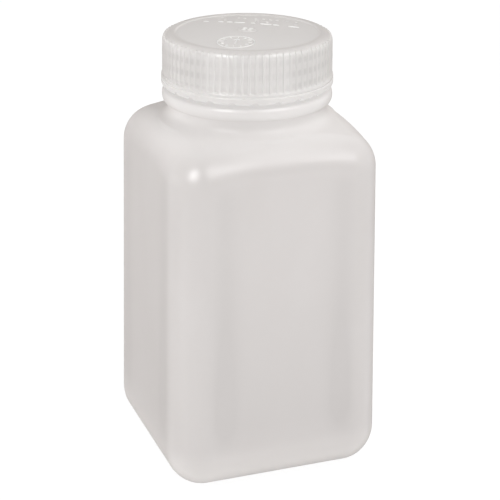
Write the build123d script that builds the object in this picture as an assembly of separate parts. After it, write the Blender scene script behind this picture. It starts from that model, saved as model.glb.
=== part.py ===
from build123d import *
import os
from math import sin, cos, pi, radians, hypot, sqrt

# Square wide-mouth bottle, nominal 1000 ml, with a ribbed screw cap, a tamper
# band under the cap and a foam sealing liner inside it.
# Frame: millimetres, +Z up the neck axis, origin at the centre of the
# standing plane. The front face of the bottle looks along -Y.
# Outlines of turned pieces are given as (radius, height).

# ---- bottle body ----
BODY_W = 90.0           # across the flats, both ways
CORNER_R = 15.2         # vertical corners
BASE_R = 14.7           # round from the side walls into the base
SHOULDER_R = 14.4       # round from the side walls into the shoulder
WALL = 1.35             # side wall
BASE_T = 1.7            # base thickness
KICK_HALF = 26.0        # half width of the push-up under the base
KICK_R = 8.0            # its corners
KICK_H = 2.6            # its depth

# Shoulder: a shallow dome of revolution, height over radius
DOME_R0, DOME_Z0 = 33.0, 142.5      # where it meets the neck root
DOME_SLOPE = 0.155                  # slope at the neck
DOME_BEND = 0.0063                  # how the slope steepens
DOME_IN_R, DOME_OUT_R = 24.0, 72.0  # span of the dome curve
DOME_STEPS = 8

# ---- neck finish ----
NECK_ROOT_R = 33.4      # short throat under the collar
NECK_R = 31.7           # wall that carries the thread
BORE_R = 29.5
RIM_Z = 173.70          # sealing face
HOLLOW_W = 5.2          # hollow round from the dome to the throat
COLLAR_R = 36.0         # transfer collar
COLLAR_Z0, COLLAR_Z1 = 148.6, 154.3
BEAD_R = 33.45          # ring that holds the tamper band down
BEAD_Z0, BEAD_Z1 = 157.60, 159.10
FLARE_W = 3.4           # widening of the bore into the shoulder

PITCH = 5.3             # one turn of the closure thread
NECK_THREAD_R = 33.4    # crest
NECK_THREAD_Z = 161.6   # thread centre line at its lower end
NECK_THREAD_TURNS = 1.90
NECK_THREAD_ANGLE = 205.0

# ---- screw cap ----
CAP_TOP_Z = 177.3
CAP_IN_R = 34.0
CAP_ROOT_R = 35.45      # between the ribs
CAP_RIB_R = 35.95       # over the ribs
CAP_LIP_R = 36.30
CAP_Z0 = 158.65         # lower edge of the skirt
CAP_ROUND = 3.1         # round from the skirt to the top
CAP_UNDER_Z = 175.30    # underside of the top plate at its edge
DISC_R = 30.2           # disc in the top
DISC_H = 0.55           # how far it is sunk at its edge
CROWN_H = 1.25          # rise of the domed disc at the centre
UNDER_CROWN_R, UNDER_CROWN_H = 28.2, 1.15   # dome on the underside of the plate
RIB_Z0 = 160.6          # lower end of the ribs
RIB_N = 76
ROUND_R = CAP_ROOT_R - CAP_ROUND            # centre of the round
ROUND_Z = CAP_TOP_Z - CAP_ROUND

CAP_THREAD_ROOT_R = CAP_IN_R + 0.35         # buried in the skirt
CAP_THREAD_R = 32.2     # crest
CAP_THREAD_TURNS = 1.75
CAP_THREAD_LIFT = 0.55  # play taken up, cap done up tight
CAP_THREAD_Z = NECK_THREAD_Z + PITCH / 2 - 1.9
# The cap thread runs half a pitch from the neck thread, lifted to take up the play
CAP_THREAD_ANGLE = NECK_THREAD_ANGLE + 360.0 * (
    CAP_THREAD_Z - (NECK_THREAD_Z - PITCH / 2 + CAP_THREAD_LIFT)) / PITCH

# ---- marks on the cap ----
MARK_H = 0.28           # height over the domed disc
MARK_DIR = -34.3        # direction of the rows, degrees
MARK_Z0 = CAP_UNDER_Z + 0.9     # mark blanks start inside the plate
MARK_BLANK_H = 4.0
DASH_Y, DASH_W = 11.9, 1.3
DASHES = (              # (start x, end x)
    (-22.4, -20.2), (-15.9, -13.7), (-12.0, -9.6), (-8.7, -4.1),
    (-1.4, 0.4), (2.7, 7.5), (8.4, 10.8), (15.0, 19.6),
)
PIP_W = 1.2
PIP_ROWS = (            # (y, x of each pip)
    (16.4, (-14.0, -0.2, 4.6, 17.2)),
    (21.4, (-16.6, -9.2, -6.6, -1.5, 1.8, 4.9, 7.9, 12.4, 16.4)),
)
CLOCK_R = 7.95          # mould clock
CLOCK_DIST = 19.3       # from the cap centre
CLOCK_DIR = MARK_DIR - 90.0
GATE_R, GATE_H = 4.1, 0.22      # low button at the centre
GATE_PIP_R, GATE_PIP_H = 0.85, 0.45
GATE_PIP_DIST = 1.75

# ---- tamper band ----
BAND_Z0, BAND_Z1 = 155.60, 158.35
BAND_IN_R, BAND_OUT_R = 34.70, 36.35
BAND_FOOT_R = 35.35
FLAP_N = 24
FLAP_IN_R = 32.60
FLAP_HALF = 1.35        # half width
BRIDGE_N = 12
BRIDGE_START = 180.0 / FLAP_N   # first bridge is midway between two flaps

# ---- liner ----
LINER_R = 33.35
LINER_GAP = 0.02        # to the rim below and the cap above
LINER_BEVEL = 0.25


# ============================ shared helpers ================================
def turned(draw_outline):
    """Solid turned about the neck axis from the closed outline the function draws."""
    with BuildPart() as solid:
        with BuildSketch(Plane.XZ):
            with BuildLine():
                draw_outline()
            make_face()
        revolve(axis=Axis.Z)
    return solid.part


def around(part, count, start=0.0):
    """Evenly spaced copies about the neck axis."""
    return [part.rotate(Axis.Z, start + i * 360.0 / count) for i in range(count)]


def thread(root_r, crest_r, z_start, turns, root_w, crest_w, angle):
    """Helical ridge, right hand, trapezoid section; its root is buried in the wall."""
    path = Helix(PITCH, PITCH * turns, root_r, center=(0, 0, z_start))
    with BuildPart() as ridge:
        with BuildSketch(Plane.XZ):
            with BuildLine():
                Polyline(
                    (root_r, z_start - root_w / 2), (crest_r, z_start - crest_w / 2),
                    (crest_r, z_start + crest_w / 2), (root_r, z_start + root_w / 2),
                    close=True)
            make_face()
        sweep(path=path, is_frenet=True)
    return ridge.part.rotate(Axis.Z, angle)


# ============================ bottle ========================================
def dome_z(radius):
    out = radius - DOME_R0
    return DOME_Z0 - DOME_SLOPE * out - DOME_BEND * out * out


def dome_slope(radius):
    """Downward slope of the dome."""
    return DOME_SLOPE + 2 * DOME_BEND * (radius - DOME_R0)


def under_dome(inset):
    """Solid of revolution under the shoulder dome, moved inwards by the inset."""
    z_floor = -20.0
    points = []
    for i in range(DOME_STEPS + 1):
        radius = DOME_IN_R + (DOME_OUT_R - DOME_IN_R) * i / DOME_STEPS
        slope = dome_slope(radius)
        normal = sqrt(1 + slope * slope)
        points.append((radius - inset * slope / normal, dome_z(radius) - inset / normal))
    first, last = points[0], points[-1]

    def outline():
        Spline(*points)
        Polyline(last, (last[0], z_floor), (0, z_floor), (0, first[1]), first)

    return turned(outline)


def tank(inset, z_floor):
    """Square tank with a domed top, all rounds on, moved inwards by the inset."""
    half = BODY_W / 2 - inset
    with BuildPart() as block:
        with BuildSketch(Plane.XY.offset(z_floor)):
            RectangleRounded(2 * half, 2 * half, CORNER_R - inset)
        extrude(amount=170.0 - z_floor)
    body = block.part & under_dome(inset)
    # The intersection may come back as another type, which fillet can't take
    body = body if isinstance(body, (Part, Solid)) else Part(body)

    shoulder = [
        edge for edge in body.edges()
        if edge.center().Z > 100
        and hypot(edge.center().X, edge.center().Y) > half - 3
        and not abs(edge.tangent_at(0.5).Z) > 0.95]
    body = fillet(shoulder, SHOULDER_R - inset)
    base = [
        edge for edge in body.edges()
        if abs(edge.center().Z - z_floor) < 1e-3
        and abs(edge.bounding_box().size.Z) < 1e-3]
    return fillet(base, BASE_R - z_floor)


def frustum(half0, corner0, z0, half1, corner1, z1):
    """Square frustum with rounded corners, from z0 up to z1."""
    with BuildPart() as solid:
        with BuildSketch(Plane.XY.offset(z0)):
            RectangleRounded(2 * half0, 2 * half0, corner0)
        with BuildSketch(Plane.XY.offset(z1)):
            RectangleRounded(2 * half1, 2 * half1, corner1)
        loft()
    return solid.part


def neck_outline():
    """Throat, collar, bead and finish wall."""
    foot_r = NECK_ROOT_R + HOLLOW_W
    foot = (foot_r, dome_z(foot_r))
    root_z = dome_z(NECK_ROOT_R)
    throat = (NECK_ROOT_R, root_z + 4.2)
    collar_foot = (NECK_ROOT_R, COLLAR_Z0 - 0.05)
    collar_top = (NECK_ROOT_R + 0.5, COLLAR_Z1)
    # hollow round from the dome to the throat, leaving along the dome
    bend_r = NECK_ROOT_R + 1.6
    Bezier(
        foot, (bend_r, foot[1] + dome_slope(foot_r) * (foot_r - bend_r)),
        (NECK_ROOT_R, root_z + 1.2), throat)
    Line(throat, collar_foot)
    # collar: bulged ring
    Spline(
        collar_foot, (COLLAR_R - 0.75, COLLAR_Z0 + 0.75),
        (COLLAR_R, (COLLAR_Z0 + COLLAR_Z1) / 2 - 0.2), (COLLAR_R - 0.75, COLLAR_Z1 - 0.9),
        collar_top, tangents=[(1, 0.02), (-1, 0.02)])
    # bead, finish wall, rim and bore
    Polyline(
        collar_top, (NECK_R, COLLAR_Z1 + 0.15),
        (NECK_R, BEAD_Z0), (BEAD_R, BEAD_Z0 + 0.05), (BEAD_R, BEAD_Z0 + 0.35),
        (NECK_R + 0.55, BEAD_Z1 - 0.1), (NECK_R, BEAD_Z1 + 0.15),
        (NECK_R, RIM_Z - 0.5), (NECK_R - 0.5, RIM_Z), (BORE_R + 0.4, RIM_Z),
        (BORE_R, RIM_Z - 0.4), (BORE_R, 136.0), (foot_r, 136.0), foot)


def bore_outline():
    """Straight bore with a flare into the shoulder."""
    flare_r = BORE_R + FLARE_W
    flare_z = DOME_Z0 - WALL - 0.2
    z_low, z_high = 130.0, RIM_Z + 5
    flare_low = (flare_r, flare_z - 0.6)
    flare_top = (BORE_R, flare_z + 4.4)
    Polyline((0, z_low), (flare_r, z_low), flare_low)
    Bezier(flare_low, (BORE_R + 0.9, flare_z + 0.3), (BORE_R, flare_z + 1.4), flare_top)
    Polyline(flare_top, (BORE_R, z_high), (0, z_high), (0, z_low))


def make_bottle():
    outer = tank(0.0, 0.0)
    inner = tank(WALL, BASE_T)
    kick = frustum(KICK_HALF, KICK_R, -0.01, KICK_HALF - 2.2, KICK_R - 1.5, KICK_H)
    kick_inside = frustum(
        KICK_HALF + 1.8, KICK_R + 1.2, BASE_T - 0.5,
        KICK_HALF - 1.1, KICK_R - 0.8, KICK_H + BASE_T)

    bottle = outer + turned(neck_outline)
    bottle = bottle - kick
    bottle = bottle - (inner - kick_inside)
    bottle = bottle - turned(bore_outline)
    return bottle + thread(
        NECK_R - 0.35, NECK_THREAD_R, NECK_THREAD_Z, NECK_THREAD_TURNS,
        root_w=2.7, crest_w=1.25, angle=NECK_THREAD_ANGLE)


# ============================ screw cap =====================================
def sphere_cap_z(radius, edge_r, edge_z, rise):
    """Height over the radius of a sphere cap standing on a circle."""
    sphere_r = (edge_r ** 2 + rise ** 2) / (2 * rise)
    return edge_z + rise - sphere_r + sqrt(sphere_r * sphere_r - radius * radius)


def crown_z(radius):
    """Height of the domed disc over the radius."""
    return sphere_cap_z(radius, DISC_R, CAP_TOP_Z - DISC_H, CROWN_H)


def cap_outline():
    disc_z = CAP_TOP_Z - DISC_H
    top = (0, disc_z + CROWN_H)
    under_top = (0, CAP_UNDER_Z + UNDER_CROWN_H)
    under_edge = (UNDER_CROWN_R, CAP_UNDER_Z)
    under_mid_r = UNDER_CROWN_R / 2
    round_top = (ROUND_R, CAP_TOP_Z)
    round_foot = (CAP_ROOT_R, ROUND_Z)
    # top: domed disc, raised edge and round
    ThreePointArc(top, (DISC_R / 2, crown_z(DISC_R / 2)), (DISC_R, disc_z))
    Polyline((DISC_R, disc_z), (DISC_R + 0.55, CAP_TOP_Z), round_top)
    Spline(
        round_top,
        (ROUND_R + CAP_ROUND * sin(pi / 4), ROUND_Z + CAP_ROUND * cos(pi / 4)),
        round_foot, tangents=[(1, 0), (0, -1)])
    # skirt: down the outside, round the lip and up the inside
    Polyline(
        round_foot, (CAP_ROOT_R, RIB_Z0 + 0.5),
        (CAP_LIP_R - 0.1, RIB_Z0 - 0.35), (CAP_LIP_R, RIB_Z0 - 0.9),
        (CAP_LIP_R, CAP_Z0 + 0.25), (CAP_LIP_R - 0.25, CAP_Z0), (CAP_IN_R + 0.3, CAP_Z0),
        (CAP_IN_R, CAP_Z0 + 0.4), (CAP_IN_R, CAP_UNDER_Z), under_edge)
    ThreePointArc(
        under_edge,
        (under_mid_r, sphere_cap_z(under_mid_r, UNDER_CROWN_R, CAP_UNDER_Z, UNDER_CROWN_H)),
        under_top)
    Line(under_top, top)


def on_round(angle, height):
    """Point at a height over the round of the cap, angle up from the skirt side."""
    reach = CAP_ROUND + height
    return (ROUND_R + reach * cos(radians(angle)), ROUND_Z + reach * sin(radians(angle)))


def rib_envelope():
    """The ribs follow the round of the cap and run out about half way up it."""
    rib_h = CAP_RIB_R - CAP_ROOT_R
    buried_r = CAP_ROOT_R - 0.5
    side_top = (CAP_RIB_R, ROUND_Z)
    run_out = on_round(48, -0.05)
    Polyline(
        on_round(48, -0.5), (buried_r, ROUND_Z), (buried_r, RIB_Z0 - 0.1),
        (CAP_RIB_R - 0.15, RIB_Z0 - 0.1), (CAP_RIB_R, RIB_Z0 + 0.3), side_top)
    Spline(
        side_top, on_round(17, rib_h), on_round(34, rib_h), on_round(42, rib_h * 0.7),
        run_out, tangents=[(0, 1), (-1, 0.05)])
    Line(run_out, on_round(48, -0.5))


def make_rib():
    """Rib on +X: a tapered bar trimmed to the envelope."""
    with BuildPart() as bar:
        with BuildSketch(Plane.XY.offset(RIB_Z0 - 0.2)):
            with BuildLine():
                Polyline(
                    (31.5, -0.72), (CAP_ROOT_R, -0.66), (CAP_RIB_R, -0.36),
                    (CAP_RIB_R, 0.36), (CAP_ROOT_R, 0.66), (31.5, 0.72), close=True)
            make_face()
        extrude(amount=CAP_TOP_Z - RIB_Z0 + 0.4)
    return (bar.part & turned(rib_envelope)).solids()[0]


def mark_cover():
    """Everything under the domed disc raised by the height of the marks."""
    cover_r, skirt_r = 28.0, 28.9
    top = (0, crown_z(0) + MARK_H)
    edge = (cover_r, crown_z(cover_r) + MARK_H)
    ThreePointArc(top, (cover_r / 2, crown_z(cover_r / 2) + MARK_H), edge)
    Polyline(
        edge, (skirt_r, crown_z(skirt_r) - 0.2), (skirt_r, CAP_UNDER_Z + 0.8),
        (0, CAP_UNDER_Z + 1.4), top)


def mark_bar(x, y, length, width):
    """Round-ended bar, placed in the frame of the rows."""
    with BuildPart() as bar:
        with BuildSketch(Plane.XY.offset(MARK_Z0)):
            with Locations((x, y)):
                RectangleRounded(length, width, min(length, width) / 2.3)
        extrude(amount=MARK_BLANK_H)
    return bar.part.rotate(Axis.Z, MARK_DIR)


def mould_clock():
    """Ring, twelve ticks and a pointer."""
    x = CLOCK_DIST * cos(radians(CLOCK_DIR))
    y = CLOCK_DIST * sin(radians(CLOCK_DIR))
    with BuildPart() as clock:
        with BuildSketch(Plane.XY.offset(MARK_Z0)):
            with Locations((x, y)):
                Circle(CLOCK_R)
                Circle(CLOCK_R - 0.5, mode=Mode.SUBTRACT)
                with PolarLocations(CLOCK_R - 2.0, 12):
                    RectangleRounded(1.5, 0.5, 0.22)
            with Locations(Location((x, y, 0), (0, 0, 60))):
                RectangleRounded(6.4, 0.7, 0.3)
                with Locations((2.9, 0)):
                    RegularPolygon(1.4, 3)
        extrude(amount=MARK_BLANK_H)
    return clock.part


def gate():
    """Low button at the centre with four pips."""
    z_start = CAP_UNDER_Z + 1.5
    with BuildPart() as button:
        with BuildSketch(Plane.XY.offset(z_start)):
            Circle(GATE_R)
        extrude(amount=crown_z(0) + GATE_H - z_start)
        with BuildSketch(Plane.XY.offset(crown_z(0))):
            with PolarLocations(GATE_PIP_DIST, 4, start_angle=MARK_DIR + 45):
                Circle(GATE_PIP_R)
        extrude(amount=GATE_PIP_H)
    return button.part


def make_marks():
    """Three rows of dashes and pips, the mould clock and the gate."""
    blanks = [mark_bar(x0 / 2 + x1 / 2, DASH_Y, x1 - x0, DASH_W) for x0, x1 in DASHES]
    blanks += [mark_bar(x, y, PIP_W, PIP_W) for y, row in PIP_ROWS for x in row]
    blanks.append(mould_clock())
    cover = turned(mark_cover)
    marks = []
    for blank in blanks:
        marks += list((blank & cover).solids())
    return marks + [gate()]


def make_cap():
    cap = turned(cap_outline)
    cap = cap.fuse(*around(make_rib(), RIB_N))
    cap = cap + thread(
        CAP_THREAD_ROOT_R, CAP_THREAD_R, CAP_THREAD_Z, CAP_THREAD_TURNS,
        root_w=2.6, crest_w=1.2, angle=CAP_THREAD_ANGLE)
    return cap.fuse(*make_marks())


# ============================ tamper band ===================================
def band_outline():
    foot = (BAND_FOOT_R - 0.1, BAND_Z0)
    shoulder = (BAND_OUT_R, BAND_Z1 - 0.75)
    inner_foot = (BAND_IN_R, BAND_Z0 + 0.35)
    Polyline(inner_foot, (BAND_IN_R + 0.3, BAND_Z0), foot)
    Spline(
        foot, (BAND_FOOT_R + 0.62, BAND_Z0 + 0.62), shoulder,
        tangents=[(1, 0.1), (0.1, 1)])
    Polyline(
        shoulder, (BAND_OUT_R, BAND_Z1 - 0.2), (BAND_OUT_R - 0.2, BAND_Z1),
        (BAND_IN_R + 0.2, BAND_Z1), (BAND_IN_R, BAND_Z1 - 0.2), inner_foot)


def make_notch():
    """Cutter for the relief notch in the lower edge under a flap."""
    with BuildPart() as notch:
        with BuildSketch(Plane.YZ.offset(BAND_IN_R - 1.0)):
            with Locations((0, BAND_Z0 - 0.35)):
                RectangleRounded(3.3, 3.0, 1.25)
        extrude(amount=3.2)
    return notch.part


def make_flap():
    """Flap pointing in from the band, its tip under the bead on the neck."""
    with BuildPart() as flap:
        with BuildSketch(Plane.XZ.offset(-FLAP_HALF)):
            with BuildLine():
                Polyline(
                    (BAND_IN_R + 0.5, BAND_Z0 + 1.30), (BAND_IN_R + 0.5, BAND_Z0 + 2.2),
                    (BAND_IN_R - 0.25, BAND_Z0 + 1.95), (FLAP_IN_R + 0.2, BAND_Z0 + 1.72),
                    (FLAP_IN_R, BAND_Z0 + 1.5), (FLAP_IN_R + 0.15, BAND_Z0 + 1.0),
                    (BAND_IN_R - 0.4, BAND_Z0 + 1.05), close=True)
            make_face()
        extrude(amount=2 * FLAP_HALF)
    return flap.part


def make_bridge():
    """Small post on the band that stops just short of the cap."""
    sunk, gap = 0.3, 0.05
    with BuildPart() as bridge:
        with BuildSketch(Plane.XY.offset(BAND_Z1 - sunk)):
            with Locations(((BAND_IN_R + BAND_OUT_R) / 2 + 0.1, 0)):
                RectangleRounded(0.8, 0.9, 0.2)
        extrude(amount=sunk + (CAP_Z0 - BAND_Z1) - gap)
    return bridge.part


def make_band():
    band = turned(band_outline)
    band = band.cut(*around(make_notch(), FLAP_N))
    band = band.fuse(*around(make_flap(), FLAP_N))
    return band.fuse(*around(make_bridge(), BRIDGE_N, BRIDGE_START))


# ============================ liner =========================================
def liner_outline():
    """Disc with bevelled edges between the rim and the cap."""
    z0, z1 = RIM_Z + LINER_GAP, CAP_UNDER_Z - LINER_GAP
    flat_r = LINER_R - LINER_BEVEL
    Polyline(
        (0, z0), (flat_r, z0), (LINER_R, z0 + LINER_BEVEL),
        (LINER_R, z1 - LINER_BEVEL), (flat_r, z1), (0, z1), close=True)


# ============================ export ========================================
pieces = {
    "bottle": make_bottle(),
    "screw_cap": make_cap(),
    "tamper_band": make_band(),
    "sealing_liner": turned(liner_outline),
}
os.makedirs("parts", exist_ok=True)
for name, piece in pieces.items():
    solids = piece.solids()
    shape = solids[0] if len(solids) == 1 else Compound(children=list(solids))
    export_step(shape, f"parts/{name}.step")
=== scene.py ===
import bpy, math
import numpy as np
from mathutils import Matrix, Vector, Quaternion


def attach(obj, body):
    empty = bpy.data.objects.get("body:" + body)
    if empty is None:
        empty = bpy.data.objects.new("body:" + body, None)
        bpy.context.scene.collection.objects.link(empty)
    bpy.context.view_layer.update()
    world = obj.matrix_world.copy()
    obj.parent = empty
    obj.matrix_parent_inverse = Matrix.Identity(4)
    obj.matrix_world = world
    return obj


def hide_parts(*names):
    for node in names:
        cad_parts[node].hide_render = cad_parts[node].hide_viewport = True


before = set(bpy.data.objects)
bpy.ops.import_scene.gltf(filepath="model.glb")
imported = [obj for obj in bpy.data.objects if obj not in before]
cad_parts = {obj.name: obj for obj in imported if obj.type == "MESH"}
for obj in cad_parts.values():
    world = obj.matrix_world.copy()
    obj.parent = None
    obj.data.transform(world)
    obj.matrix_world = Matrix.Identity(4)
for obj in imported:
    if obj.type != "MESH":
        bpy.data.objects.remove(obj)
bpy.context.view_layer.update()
MM = 0.001
TAU = 2 * math.pi

# ------------------------------------------------------------------ sizes, mm
HALF, RC, RB, RS = 45.0, 15.2, 14.7, 14.4
WALL, BASE_T = 1.35, 1.7
R0, Z0, S0, S1 = 33.0, 142.5, 0.155, 0.0063
ROOT_R, NECK_R, BORE_R, RIM_Z = 33.4, 31.7, 29.5, 173.70
PITCH = 5.3
THREAD_Z0, THREAD_TURNS, THREAD_A0 = 161.6, 1.90, 205.0


# ------------------------------------------------------------------ mesh tools
def smooth01(t):
    t = np.clip(t, 0.0, 1.0)
    return t * t * (3 - 2 * t)


def new_piece(name, verts, faces, body, mats, face_mat=None, sharp=None):
    me = bpy.data.meshes.new(name)
    v = np.asarray(verts, np.float32) * MM
    me.from_pydata(v.tolist(), [], [list(map(int, f)) for f in faces])
    me.update()
    me.polygons.foreach_set("use_smooth", [True] * len(me.polygons))
    for m in mats:
        me.materials.append(m)
    if face_mat is not None:
        me.polygons.foreach_set("material_index", np.asarray(face_mat, np.int32))
    o = bpy.data.objects.new(name, me)
    bpy.context.scene.collection.objects.link(o)
    if sharp is not None:
        me.set_sharp_from_angle(angle=math.radians(sharp))
    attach(o, body)
    return o


def lathe(rings, n, close=False):
    """rings: list of (R[n], Z[n]) or (None, z) for a pole. Returns verts, faces, ring index of each face."""
    th = np.arange(n) * TAU / n
    c, s = np.cos(th), np.sin(th)
    verts, starts = [], []
    for R, Z in rings:
        starts.append(len(verts))
        if R is None:
            verts.append((0.0, 0.0, float(Z)))
            continue
        R = np.broadcast_to(np.asarray(R, float), (n,))
        Z = np.broadcast_to(np.asarray(Z, float), (n,))
        verts.extend(zip((R * c).tolist(), (R * s).tolist(), Z.tolist()))
    faces, tag = [], []
    m = len(rings)
    for k in range(m if close else m - 1):
        a, b = starts[k], starts[(k + 1) % m]
        pa, pb = rings[k][0] is None, rings[(k + 1) % m][0] is None
        for i in range(n):
            j = (i + 1) % n
            if pa:
                faces.append((a, b + j, b + i))
            elif pb:
                faces.append((a + i, a + j, b))
            else:
                faces.append((a + i, a + j, b + j, b + i))
            tag.append(k)
    return verts, faces, tag


def rsq(th, half, r):
    """Polar radius of a rounded square."""
    r = min(max(r, 0.02), half)
    a = np.abs(((th + math.pi / 4) % (math.pi / 2)) - math.pi / 4)
    c = half - r
    flat = half / np.cos(a)
    y = half * np.tan(a)
    k = c * (np.cos(a) + np.sin(a))
    arc = k + np.sqrt(np.maximum(k * k - 2 * c * c + r * r, 0))
    return np.where(y <= c, flat, arc)


def inset(x, y, half, r):
    qx, qy = np.abs(x) - (half - r), np.abs(y) - (half - r)
    out = np.hypot(np.maximum(qx, 0), np.maximum(qy, 0)) + np.minimum(np.maximum(qx, qy), 0) - r
    return -out


def dome(r, t=0.0):
    u = r - R0
    s = S0 + 2 * S1 * u
    return Z0 - S0 * u - S1 * u * u - t * np.sqrt(1 + s * s)


# ------------------------------------------------------------------ the bottle
def helix_height(th, z, z0, turns, a0, root, crest, high, taper=26.0, sign=1):
    """Height of a trapezoid thread on a wall, at azimuth th and height z."""
    out = np.zeros_like(th)
    base = (th - math.radians(a0)) % TAU
    for k in range(-1, int(turns) + 2):
        t = base / TAU + k
        zc = z0 + PITCH * t
        ends = smooth01(t * 360 / taper) * smooth01((turns - t) * 360 / taper)
        ok = (t >= 0) & (t <= turns)
        d = np.abs(z - zc)
        h = np.clip((root / 2 - d) / (root / 2 - crest / 2), 0, 1)
        h = smooth01(h) * 0.35 + h * 0.65
        out = np.maximum(out, np.where(ok, h * ends * high, 0))
    return out


def bottle_mesh(n=512):
    th = np.arange(n) * TAU / n
    c, s = np.cos(th), np.sin(th)
    side = rsq(th, HALF, RC)
    # walls of a blown bottle sink a little between the corners
    sag = 0.16 * np.cos(2 * ((th + math.pi / 4) % (math.pi / 2) - math.pi / 4)) ** 10

    def shoulder(t):
        """Rings from the wall top to the neck circle, for the surface moved inwards by t: a ball of radius RS rolled between wall and dome."""
        half, rc, rs = HALF - t, RC - t, RS - t
        sd = rsq(th, half, rc)
        rn = 38.6 if t == 0 else 36.0

        def height(rho):
            x, y = rho * c, rho * s
            qx, qy = np.abs(x) - (half - rc), np.abs(y) - (half - rc)
            corner = (qx > 0) & (qy > 0)
            ln = np.hypot(qx, qy) + 1e-9
            nx = np.where(corner, qx / ln, (qx > qy) * 1.0) * np.sign(x + 1e-12)
            ny = np.where(corner, qy / ln, (qy >= qx) * 1.0) * np.sign(y + 1e-12)
            d = np.clip(inset(x, y, half, rc), 0, None)
            px, py = x - nx * (rs - d), y - ny * (rs - d)
            rcen = np.hypot(px, py)
            sn = (S0 + 2 * S1 * (rcen - R0)) * (px * nx + py * ny) / np.maximum(rcen, 1)
            k = rs - d
            ball = dome(rcen, t) - rs * np.sqrt(1 + sn * sn) + np.sqrt(np.maximum(rs * rs - k * k, 0))
            w = smooth01((k - rs * sn / np.sqrt(1 + sn * sn)) / 1.6 + 0.5)
            return np.where(d < rs, dome(rho, t) * (1 - w) + ball * w, dome(rho, t))
        out = []
        for u in np.linspace(0, 1, 34):
            rho = sd - (sd - rn) * (1 - math.cos(math.pi * u / 2))
            out.append((rho, height(rho)))
        return out

    rings, zone = [], []

    def add(items, z):
        for it in items:
            rings.append(it)
            zone.append(z)

    # underside: push-up, standing ring
    add([(None, 2.6)], 0)
    add([(rsq(th, h, min(6.5, h)), 2.6) for h in (5, 10, 15, 20, 23.2)], 0)
    add([(rsq(th, 23.8, 6.6), 2.48), (rsq(th, 24.2, 6.8), 2.1), (rsq(th, 25.5, 7.7), 0.45), (rsq(th, 25.9, 7.9), 0.1),
         (rsq(th, 26.3, 8.0), 0.0)], 0)
    inner_r, outer_r = rsq(th, 26.3, 8.0), rsq(th, HALF - RB, RC - RB)
    add([(inner_r + (outer_r - inner_r) * k, 0.0) for k in (0.33, 0.66)], 0)
    # base round
    for a in np.radians(np.linspace(0, 90, 18)):
        d = RB * (1 - math.sin(a))
        add([(rsq(th, HALF - d, RC - d), RB * (1 - math.cos(a)))], 1)
    # walls
    sh = shoulder(0.0)
    top = sh[0][1]
    for k in np.linspace(0, 1, 40)[1:-1]:
        bow = math.sin(math.pi * k) ** 0.7
        add([(side - sag * bow, RB + (top - RB) * k)], 2)
    add(sh, 3)
    # hollow round up to the throat
    r1 = 38.6
    z1 = dome(np.array(r1)); m = -(S0 + 2 * S1 * (r1 - R0))
    zt = float(dome(np.array(ROOT_R)))
    P = [(r1, float(z1)), (ROOT_R + 1.6, float(z1) - m * (r1 - ROOT_R - 1.6)), (ROOT_R, zt + 1.2), (ROOT_R, zt + 4.4)]
    for t in np.linspace(0, 1, 13)[1:]:
        b = [(1 - t) ** 3, 3 * t * (1 - t) ** 2, 3 * t * t * (1 - t), t ** 3]
        add([(sum(w * p[0] for w, p in zip(b, P)), sum(w * p[1] for w, p in zip(b, P)))], 3)
    # collar
    zc0, zc1 = 148.6, 154.3
    add([(ROOT_R, zc0 - 0.45), (ROOT_R + 0.12, zc0 - 0.12)], 4)
    for a in np.linspace(-90, 90, 19):
        ar = math.radians(a)
        rr = ROOT_R + 0.35 + (36.0 - ROOT_R - 0.35) * abs(math.cos(ar)) ** 0.62
        zz = (zc0 + zc1) / 2 - 0.1 + (zc1 - zc0) / 2 * math.sin(ar)
        add([(rr, zz)], 4)
    add([(ROOT_R - 0.6, zc1 + 0.1), (NECK_R + 0.25, zc1 + 0.2), (NECK_R, zc1 + 0.45)], 4)
    # bead that keeps the band down
    add([(NECK_R, 157.35), (NECK_R + 0.15, 157.58), (33.2, 157.62), (33.42, 157.8), (33.4, 158.05), (32.4, 158.95),
         (NECK_R + 0.1, 159.25), (NECK_R, 159.5)], 4)
    # threaded wall
    for z in np.arange(159.8, 173.15, 0.28):
        h = helix_height(th, np.full(n, z), THREAD_Z0, THREAD_TURNS, THREAD_A0, 2.55, 1.15, 33.4 - NECK_R)
        add([(NECK_R + h, z)], 5)
    # rim
    for a in np.radians(np.linspace(0, 90, 5)):
        add([(NECK_R - 0.5 + 0.5 * math.cos(a), RIM_Z - 0.5 + 0.5 * math.sin(a))], 5)
    for a in np.radians(np.linspace(90, 180, 5)):
        add([(BORE_R + 0.4 + 0.4 * math.cos(a), RIM_Z - 0.4 + 0.4 * math.sin(a))], 6)
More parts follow.
